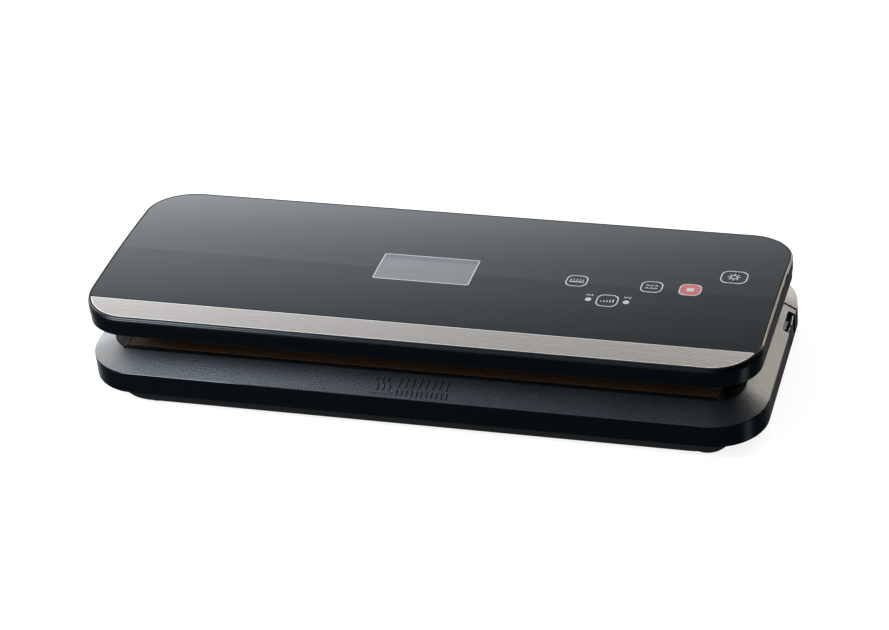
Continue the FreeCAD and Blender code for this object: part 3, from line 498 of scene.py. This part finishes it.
class Marks:
    """Collects thin closed patches laid on a surface, then makes them one piece."""

    def __init__(self, place, top, bottom):
        self.place = place
        self.top = top
        self.bottom = bottom
        self.vertices = []
        self.faces = []

    def loop(self, points, lift):
        start = len(self.vertices)
        self.vertices += [self.place(x, y, lift) for x, y in points]
        return list(range(start, start + len(points)))

    def patch(self, points):
        """A filled patch inside one outline."""
        upper = self.loop(points, self.top)
        lower = self.loop(points, self.bottom)
        self.faces += [upper, lower[::-1]]
        self.wall(upper, lower)

    def wall(self, a, b):
        n = len(a)
        self.faces += [[a[i], b[i], b[(i + 1) % n], a[(i + 1) % n]] for i in range(n)]

    def band(self, outer, inner):
        """A closed line between two outlines with the same number of points."""
        loops = [self.loop(outer, self.top), self.loop(inner, self.top),
                 self.loop(inner, self.bottom), self.loop(outer, self.bottom)]
        for a, b in zip(loops, loops[1:] + loops[:1]):
            self.wall(a, b)

    def bar(self, x0, y0, x1, y1, width):
        """A straight stroke with round ends."""
        along = Vector((x1 - x0, y1 - y0))
        angle = math.atan2(along.y, along.x)
        points = []
        for ox, oy, start in ((x1, y1, -90), (x0, y0, 90)):
            for i in range(6):
                a = angle + math.radians(start + 36 * i)
                points.append((ox + width / 2 * math.cos(a), oy + width / 2 * math.sin(a)))
        self.patch(points)

    def stroke(self, points, width):
        """A line of even width through the points."""
        sides = ([], [])
        for i, (x, y) in enumerate(points):
            before = points[max(i - 1, 0)]
            after = points[min(i + 1, len(points) - 1)]
            d = Vector((after[0] - before[0], after[1] - before[1])).normalized()
            sides[0].append((x - d.y * width / 2, y + d.x * width / 2))
            sides[1].append((x + d.y * width / 2, y - d.x * width / 2))
        self.strip(sides[0], sides[1])

    def strip(self, left, right):
        rows = [self.loop(left, self.top), self.loop(right, self.top),
                self.loop(right, self.bottom), self.loop(left, self.bottom)]
        for a, b in zip(rows, rows[1:] + rows[:1]):
            for i in range(len(a) - 1):
                self.faces.append([a[i], a[i + 1], b[i + 1], b[i]])
        for end in (0, -1):
            self.faces.append([row[end] for row in rows])

    def make(self, name, material, body):
        piece(name, self.vertices, self.faces, material, body)


def lid_xy(point):
    """Where a point of the raised lid lies on the closed lid."""
    flat = LID_CLOSE @ point
    return flat.x, flat.y


# ---------------------------------------------------------------- prints on the glass
WHITE = ink("print_white", (0.30, 0.31, 0.32))
RED = ink("print_red", (0.30, 0.030, 0.040))
LCD = made["display"]
SEAL = rubber("panel_seal", grey(0.0012), grey(0.0020), 0.6, 0.08)
# painted highlight: a pale matt ink, laid as a thin band along the trim strip's edge, stands in for the glint of
# its polished bevel
PAINTED_BEVEL_HIGHLIGHT = ink("strip_bevel_painted_highlight", (0.55, 0.54, 0.52), 0.03)
# how far each print stands above the glass, so that none lies in another's plane
FACE_TOP = 0.02 * MM
FRAME_TOP = 0.05 * MM
FILL_TOP = 0.065 * MM
OUTLINE_TOP = 0.095 * MM
ICON_TOP = 0.12 * MM
PRINT_BOTTOM = -0.05 * MM
LINE = 0.62 * MM             # width of the outlines around the keys and the display
KEY_SIZES = [(11.7, 10.8), (11.7, 11.1), (11.8, 10.8), (11.9, 11.1), (14.4, 12.7)]
KEY_SHIFT = 0.5 * MM         # the print stands this far right of the touch pads
STOP_KEY = 3
THIN = 0.5 * MM              # a pictogram's stroke
TICK_PITCH = 1.6 * MM
CARET_PITCH = 2.3 * MM
keys = [lid_xy((low + high) / 2) for low, high in shells_of("touch_pads")]
keys = [(x + KEY_SHIFT, y) for x, y in keys]
lamps = [lid_xy((low + high) / 2) for low, high in shells_of("indicator_lamps")]


def key_outline(x, y, w, h, inset):
    w = (w - 2 * inset) * MM
    h = (h - 2 * inset) * MM
    return rounded_rectangle(x, y, w, h, min(w, h) * 0.33, 7, 0.2 * MM)


def print_keys():
    lines = Marks(on_glass, OUTLINE_TOP, PRINT_BOTTOM)
    for (x, y), (w, h) in zip(keys, KEY_SIZES):
        lines.band(key_outline(x, y, w, h, 0), key_outline(x, y, w, h, LINE / MM))
    lines.make("key_outlines", WHITE, "lid")
    fill = Marks(on_glass, FILL_TOP, PRINT_BOTTOM)
    x, y = keys[STOP_KEY]
    fill.patch(key_outline(x, y, *KEY_SIZES[STOP_KEY], LINE / MM * 0.6))
    fill.make("stop_key_fill", RED, "lid")


def caret(marks, x, foot, tip, half, width):
    """Two strokes meeting at a tip."""
    for side in (-1, 1):
        marks.bar(x + side * half, foot, x, tip, width)


def print_icons():
    """Plain pictograms: seal line, steps, vacuum arrows, square and sun, and a level at each lamp."""
    icons = Marks(on_glass, ICON_TOP, PRINT_BOTTOM)
    seal, steps, vacuum, stop, sun = keys
    x, y = seal
    bar_half = 3.6 * MM
    bar_y = y - 1.0 * MM
    icons.bar(x - bar_half, bar_y, x + bar_half, bar_y, 0.85 * MM)
    for i in range(5):
        cx = x + (i - 2) * TICK_PITCH
        icons.bar(cx, y + 0.3 * MM, cx, y + 1.5 * MM, THIN)
    x, y = steps
    for i in range(5):
        cx = x + (i - 2) * TICK_PITCH
        icons.bar(cx, y - 1.3 * MM, cx, y + (-0.8 + 0.5 * i) * MM, THIN * 1.3)
    x, y = vacuum
    for row in (-1.3 * MM, 1.4 * MM):
        for i in range(3):
            caret(icons, x + (i - 1) * CARET_PITCH, y + row - 0.5 * MM, y + row + 0.5 * MM, 0.7 * MM, THIN)
    x, y = stop
    icons.patch(rounded_rectangle(x, y, 3.9 * MM, 3.6 * MM, 0.5 * MM, 3))
    x, y = sun
    icons.band(circle(x, y, 2.0 * MM), circle(x, y, 1.45 * MM))
    for i in range(8):
        a = math.radians(45 * i)
        inner, outer = 2.5 * MM, 3.1 * MM
        icons.bar(x + inner * math.cos(a), y + inner * math.sin(a),
                  x + outer * math.cos(a), y + outer * math.sin(a), 0.7 * MM)
    for sign, (x, y) in zip((1, -1), lamps):
        icons.patch(circle(x, y, 1.7 * MM))
        middle = y + 4.4 * MM
        rise = 0.7 * MM * sign
        for shift in (-1.1 * MM, 1.1 * MM):
            caret(icons, x + shift, middle - rise, middle + rise, 0.8 * MM, THIN * 0.9)
    icons.make("key_icons", WHITE, "lid")


def divided(cx, cy, w, h, r):
    """A rounded rectangle whose short sides carry extra points, to follow the crown."""
    points = rounded_rectangle(cx, cy, w, h, r, 4)
    out = []
    for i, (x, y) in enumerate(points):
        out.append((x, y))
        nx, ny = points[(i + 1) % len(points)]
        if abs(ny - y) > h / 2:
            out += [(x + (nx - x) * k / 10, y + (ny - y) * k / 10) for k in range(1, 10)]
    return out


def grid_patch(name, x0, x1, y0, y1, nx, ny, place, top, bottom, material, body):
    """A closed thin sheet over a rectangle, fine enough to follow its surface."""
    vertices = []
    for lift in (top, bottom):
        for j in range(ny + 1):
            for i in range(nx + 1):
                vertices.append(place(x0 + (x1 - x0) * i / nx, y0 + (y1 - y0) * j / ny, lift))
    layer = (nx + 1) * (ny + 1)

    def at(i, j, k):
        return k * layer + j * (nx + 1) + i

    faces = []
    for j in range(ny):
        for i in range(nx):
            faces.append([at(i, j, 0), at(i + 1, j, 0), at(i + 1, j + 1, 0), at(i, j + 1, 0)])
            faces.append([at(i, j, 1), at(i, j + 1, 1), at(i + 1, j + 1, 1), at(i + 1, j, 1)])
    for i in range(nx):
        faces.append([at(i, 0, 0), at(i, 0, 1), at(i + 1, 0, 1), at(i + 1, 0, 0)])
        faces.append([at(i, ny, 0), at(i + 1, ny, 0), at(i + 1, ny, 1), at(i, ny, 1)])
    for j in range(ny):
        faces.append([at(0, j, 0), at(0, j + 1, 0), at(0, j + 1, 1), at(0, j, 1)])
        faces.append([at(nx, j, 0), at(nx, j, 1), at(nx, j + 1, 1), at(nx, j + 1, 0)])
    piece(name, vertices, faces, material, body)


def display_window():
    """The display window: a pale face behind a fine white frame."""
    border = 4.0 * MM
    edge = LINE
    low, high = closed_box("display_module")
    x0 = low.x + border
    x1 = high.x - border
    y0 = low.y + border
    y1 = high.y - border
    cx = (x0 + x1) / 2
    cy = (y0 + y1) / 2
    line = Marks(on_glass, FRAME_TOP, PRINT_BOTTOM)
    line.band(divided(cx, cy, x1 - x0, y1 - y0, 1.0 * MM),
              divided(cx, cy, x1 - x0 - 2 * edge, y1 - y0 - 2 * edge, 0.6 * MM))
    line.make("display_frame", WHITE, "lid")
    inset = edge * 0.6
    grid_patch("display_face", x0 + inset, x1 - inset, y0 + inset, y1 - inset, 2, 13, on_glass,
               FACE_TOP, PRINT_BOTTOM, LCD, "lid")


# ---------------------------------------------------------------- edges of the glass and the trim strip
lid_low, lid_high = closed_box("lid_frame")
LID_HALF_W = lid_high.x
LID_FRONT = lid_low.y
LID_REAR = lid_high.y
# the joint between strip and glass, half way across their gap
STRIP_REAR = (closed_box("trim_strip")[1].y + closed_box("glass_panel")[0].y) / 2
BORDER = (0.85 * MM, 1.85 * MM)      # the black line around the glass and strip, from the lid's edge
BRIGHT = (1.85 * MM, 2.15 * MM)      # the painted highlight band along the strip's edge, from the lid's edge, in place of the glint of a polished bevel
SEAL_TOP = 0.04 * MM
SEAL_BOTTOM = -0.3 * MM
SEAL_BEHIND = 0.55 * MM              # how far the black line over the joint reaches onto the glass
SEAL_BEFORE = 0.45 * MM              # and onto the strip
SEAL_SHORT = 1.9 * MM                # where it stops short of the lid's round corners
PAINTED_HIGHLIGHT_TOP = 0.03 * MM
PAINTED_HIGHLIGHT_BOTTOM = -0.2 * MM
PAINTED_HIGHLIGHT_REAR = 0.3 * MM                # width of the painted highlight band along the joint


def lid_outline(inset):
    """The lid's outline moved inwards, with points close enough to follow the crown."""
    r = LID_CORNER_R - inset
    w = LID_HALF_W - inset
    front = LID_FRONT + inset
    rear = LID_REAR - inset
    points = []
    for sx, y, start in ((1, rear, 0), (-1, rear, 90), (-1, front, 180), (1, front, 270)):
        cx = sx * (w - r)
        cy = y - r if y > 0 else y + r
        for i in range(17):
            a = math.radians(start + 90 * i / 16)
            points.append((cx + r * math.cos(a), cy + r * math.sin(a)))
        if start in (90, 270):
            tail = points[-1]
            away = front + r if start == 90 else rear - r
            points += [(tail[0], tail[1] + (away - tail[1]) * k / 14) for k in range(1, 14)]
    return points


def strip_outline(inset, behind):
    """The strip's outline moved inwards; behind is how far its rear edge moves to the front."""
    r = LID_CORNER_R - inset
    cx = LID_HALF_W - LID_CORNER_R
    cy = LID_FRONT + LID_CORNER_R
    rise = math.asin((STRIP_REAR - behind - cy) / r)
    arc = [rise + (-math.pi / 2 - rise) * i / 16 for i in range(17)]
    right = [(cx + r * math.cos(a), cy + r * math.sin(a)) for a in arc]
    return right + [(-x, y) for x, y in reversed(right)]


def lid_edges():
    """Black sealing line around the panels and between them, and a painted highlight along the strip's edge."""
    black = Marks(on_crown, SEAL_TOP, SEAL_BOTTOM)
    black.band(lid_outline(BORDER[0]), lid_outline(BORDER[1]))
    end = LID_HALF_W - BORDER[1] - SEAL_SHORT
    rear = STRIP_REAR + SEAL_BEHIND
    front = STRIP_REAR - SEAL_BEFORE
    black.patch([(end, rear), (-end, rear), (-end, front), (end, front)])
    black.make("panel_seal", SEAL, "lid")
    # painted highlight: pale ink band along the strip's front and side edges, standing in for its bevel's glint
    bright = Marks(on_crown, PAINTED_HIGHLIGHT_TOP, PAINTED_HIGHLIGHT_BOTTOM)
    bright.band(strip_outline(BRIGHT[0], SEAL_BEFORE), strip_outline(BRIGHT[1], SEAL_BEFORE + PAINTED_HIGHLIGHT_REAR))
    bright.make("strip_bevel_painted_highlight", PAINTED_BEVEL_HIGHLIGHT, "lid")


# ---------------------------------------------------------------- raised mark on the front rim
RIM_RELIEF = 0.6 * MM
RIM_STROKE = 0.85 * MM
WAVE_FRONT = -70.8 * MM
WAVE_LENGTH = 7.0 * MM
WAVE_SWING = 0.8 * MM
WAVE_STEPS = 12


def rim_mark():
    """Moulded hot-bar pictogram: three rising waves over a line, and two rows of short ribs."""
    raised = Marks(on_base, RIM_RELIEF, -0.2 * MM)
    for i in range(3):
        cx = (-19.2 + 3.2 * i) * MM
        points = [(cx + WAVE_SWING * math.sin(2 * math.pi * t / WAVE_STEPS),
                   WAVE_FRONT + WAVE_LENGTH * t / WAVE_STEPS) for t in range(WAVE_STEPS + 1)]
        raised.stroke(points, RIM_STROKE)
    line_y = -72.0 * MM
    raised.bar(-21.4 * MM, line_y, -10.6 * MM, line_y, RIM_STROKE)
    for i in range(8):
        x = (-7.4 + 3.7 * i) * MM
        raised.bar(x, -67.9 * MM, x + 0.9 * MM, -64.0 * MM, RIM_STROKE * 1.1)
    for i in range(11):
        x = (-7.8 + 2.72 * i) * MM
        raised.bar(x, -72.4 * MM, x, -70.0 * MM, RIM_STROKE * 0.9)
    raised.make("rim_mark", made["grained_shell"], "base")


print_keys()
print_icons()
display_window()
lid_edges()
rim_mark()

# ---------------------------------------------------------------- stage, light and camera
AZIMUTH = math.radians(18.5)
ELEVATION = math.radians(34.17)
ROLL = math.radians(-5.82)
DISTANCE = 1.60528
AIM_RIGHT = -3.44 * MM
AIM_UP = 15.34 * MM
AIM_Y = 9.3 * MM
LENS = 117.75
# azimuth (0 is the rear, 90 the right) and elevation in degrees, sharpness, colour
GLOWS = [
    (-42, 5, 11.5, (6.1, 6.4, 6.8)),
    (-90, 58, 16.0, (1.0, 1.2, 1.4)),
    (-135, 39, 25.0, (2.6, 3.1, 3.6)),
    (-165, 28, 14.0, (0.55, 0.62, 0.70)),
    (98, -32, 90.0, (0.30, 0.45, 0.45)),
    (18, -34, 20.0, (0.06, 0.04, 0.035)),
]
# azimuth, elevation, half width, half height and soft edge in degrees, colour
SOFTBOXES = [
    (17, 18, 17, 18, 7, (7.4, 7.0, 6.35)),
    (-66, 38, 13, 10, 9, (10.5, 10.0, 9.2)),
]
ROOM = (0.017, 0.029, 0.040)     # the dim room around the lamps
LAMP = (-0.28, -0.20, 0.31)
LAMP_AIM = (-0.17, -0.07, 0.02)  # the left end of the front rim
LAMP_SIZE = (0.2, 0.2)
LAMP_POWER = 2.0
LAMP_COLOUR = (0.80, 0.90, 1.0)


def camera():
    """The camera, swung right and up from straight in front, then rolled."""
    back = Vector((math.sin(AZIMUTH) * math.cos(ELEVATION), -math.cos(AZIMUTH) * math.cos(ELEVATION),
                   math.sin(ELEVATION)))
    right = Vector((math.cos(AZIMUTH), math.sin(AZIMUTH), 0))
    up = back.cross(right)
    rolled_right = right * math.cos(ROLL) + up * math.sin(ROLL)
    rolled_up = up * math.cos(ROLL) - right * math.sin(ROLL)
    place = back * DISTANCE + right * AIM_RIGHT + up * AIM_UP + Vector((0, AIM_Y, 0))
    data = bpy.data.cameras.new("camera")
    data.lens = LENS
    data.sensor_width = 36.0
    obj = bpy.data.objects.new("camera", data)
    rows = [(rolled_right[i], rolled_up[i], back[i], place[i]) for i in range(3)]
    obj.matrix_world = Matrix((*rows, (0, 0, 0, 1)))
    bpy.context.scene.collection.objects.link(obj)
    bpy.context.scene.camera = obj


def floor():
    """A plain white floor, bright enough to meet the backdrop without an edge."""
    half = 4.0
    mesh = bpy.data.meshes.new("floor")
    square = [(-half, -half, 0), (half, -half, 0), (half, half, 0), (-half, half, 0)]
    mesh.from_pydata(square, [], [(0, 1, 2, 3)])
    material = bpy.data.materials.new("floor")
    material.use_nodes = True
    tree = material.node_tree
    shader = tree.nodes["Principled BSDF"]
    shader.inputs["Base Color"].default_value = (0.3, 0.3, 0.3, 1)
    shader.inputs["Roughness"].default_value = 0.9
    shader.inputs["Specular IOR Level"].default_value = 0.0
    shader.inputs["Emission Color"].default_value = (1, 1, 1, 1)
    shader.inputs["Emission Strength"].default_value = 0.86
    mesh.materials.append(material)
    obj = bpy.data.objects.new("floor", mesh)
    obj.visible_glossy = False
    bpy.context.scene.collection.objects.link(obj)


def world_node(tree, kind, sources, **props):
    node = tree.nodes.new("ShaderNode" + kind)
    for key, value in props.items():
        setattr(node, key, value)
    for key, value in sources.items():
        if isinstance(value, bpy.types.NodeSocket):
            tree.links.new(value, node.inputs[key])
        else:
            node.inputs[key].default_value = value
    return node


def added(tree, amount, colour, before):
    """The sky so far, plus colour times amount."""
    tint = world_node(tree, "VectorMath", {0: colour, "Scale": amount}, operation="SCALE")
    total = world_node(tree, "VectorMath", {0: before, 1: tint.outputs[0]}, operation="ADD")
    return total.outputs[0]


def lobe(tree, place, towards, sharpness, colour, before):
    """Adds a soft glow centred on a direction of the sky."""
    dot = world_node(tree, "VectorMath", {0: place, 1: towards}, operation="DOT_PRODUCT")
    less = world_node(tree, "Math", {0: dot.outputs["Value"], 1: 1.0}, operation="SUBTRACT")
    steep = world_node(tree, "Math", {0: less.outputs[0], 1: sharpness}, operation="MULTIPLY")
    glow = world_node(tree, "Math", {0: steep.outputs[0]}, operation="EXPONENT")
    return added(tree, glow.outputs[0], colour, before)


def panel(tree, place, azimuth, elevation, half_width, half_height, soft, colour, before):
    """Adds a softbox: an even rectangle of azimuth and elevation, with soft edges, in degrees."""
    parts = world_node(tree, "SeparateXYZ", {"Vector": place})
    around = world_node(tree, "Math", {0: parts.outputs["X"], 1: parts.outputs["Y"]}, operation="ARCTAN2")
    above = world_node(tree, "Math", {0: parts.outputs["Z"]}, operation="ARCSINE")
    inside = []
    for angle, middle, half in ((around, azimuth, half_width), (above, elevation, half_height)):
        off = world_node(tree, "Math", {0: angle.outputs[0], 1: math.radians(middle)}, operation="SUBTRACT")
        size = world_node(tree, "Math", {0: off.outputs[0]}, operation="ABSOLUTE")
        fade = world_node(tree, "MapRange", {"Value": size.outputs[0], "From Min": math.radians(half),
                                             "From Max": math.radians(half + soft), "To Min": 1.0,
                                             "To Max": 0.0}, interpolation_type="SMOOTHSTEP")
        inside.append(fade.outputs["Result"])
    both = world_node(tree, "Math", {0: inside[0], 1: inside[1]}, operation="MULTIPLY")
    return added(tree, both.outputs[0], colour, before)


def sky():
    """A studio of softboxes and broad glows on a dim room; the backdrop itself is plain white."""
    world = bpy.data.worlds.new("studio")
    bpy.context.scene.world = world
    world.use_nodes = True
    tree = world.node_tree
    tree.nodes.clear()
    place = tree.nodes.new("ShaderNodeTexCoord").outputs["Generated"]
    light = world_node(tree, "CombineXYZ", dict(zip("XYZ", ROOM))).outputs[0]
    for azimuth, elevation, sharpness, colour in GLOWS:
        light = lobe(tree, place, direction(azimuth, elevation), sharpness, colour, light)
    for azimuth, elevation, half_width, half_height, soft, colour in SOFTBOXES:
        light = panel(tree, place, azimuth, elevation, half_width, half_height, soft, colour, light)
    room = world_node(tree, "Background", {"Color": light})
    backdrop = world_node(tree, "Background", {"Color": (1, 1, 1, 1)})
    seen = tree.nodes.new("ShaderNodeLightPath")
    mix = world_node(tree, "MixShader", {0: seen.outputs["Is Camera Ray"], 1: room.outputs[0],
                                         2: backdrop.outputs[0]})
    world_node(tree, "OutputWorld", {"Surface": mix.outputs[0]})


def direction(azimuth, elevation):
    """Azimuth 0 is +Y and 90 is +X; elevation is above the horizon, in degrees."""
    a = math.radians(azimuth)
    e = math.radians(elevation)
    return (math.sin(a) * math.cos(e), math.cos(a) * math.cos(e), math.sin(e))


def soft_light(name, place, aim, size, power, colour):
    """A rectangular lamp at place, turned towards aim."""
    data = bpy.data.lights.new(name, "AREA")
    data.shape = "RECTANGLE"
    data.size, data.size_y = size
    data.energy = power
    data.color = colour
    obj = bpy.data.objects.new(name, data)
    obj.location = place
    obj.rotation_euler = (Vector(aim) - Vector(place)).to_track_quat("-Z", "Y").to_euler()
    obj.visible_camera = False
    bpy.context.scene.collection.objects.link(obj)


camera()
floor()
sky()
soft_light("over_left", LAMP, LAMP_AIM, LAMP_SIZE, LAMP_POWER, LAMP_COLOUR)
bpy.context.scene.view_settings.view_transform = "Standard"
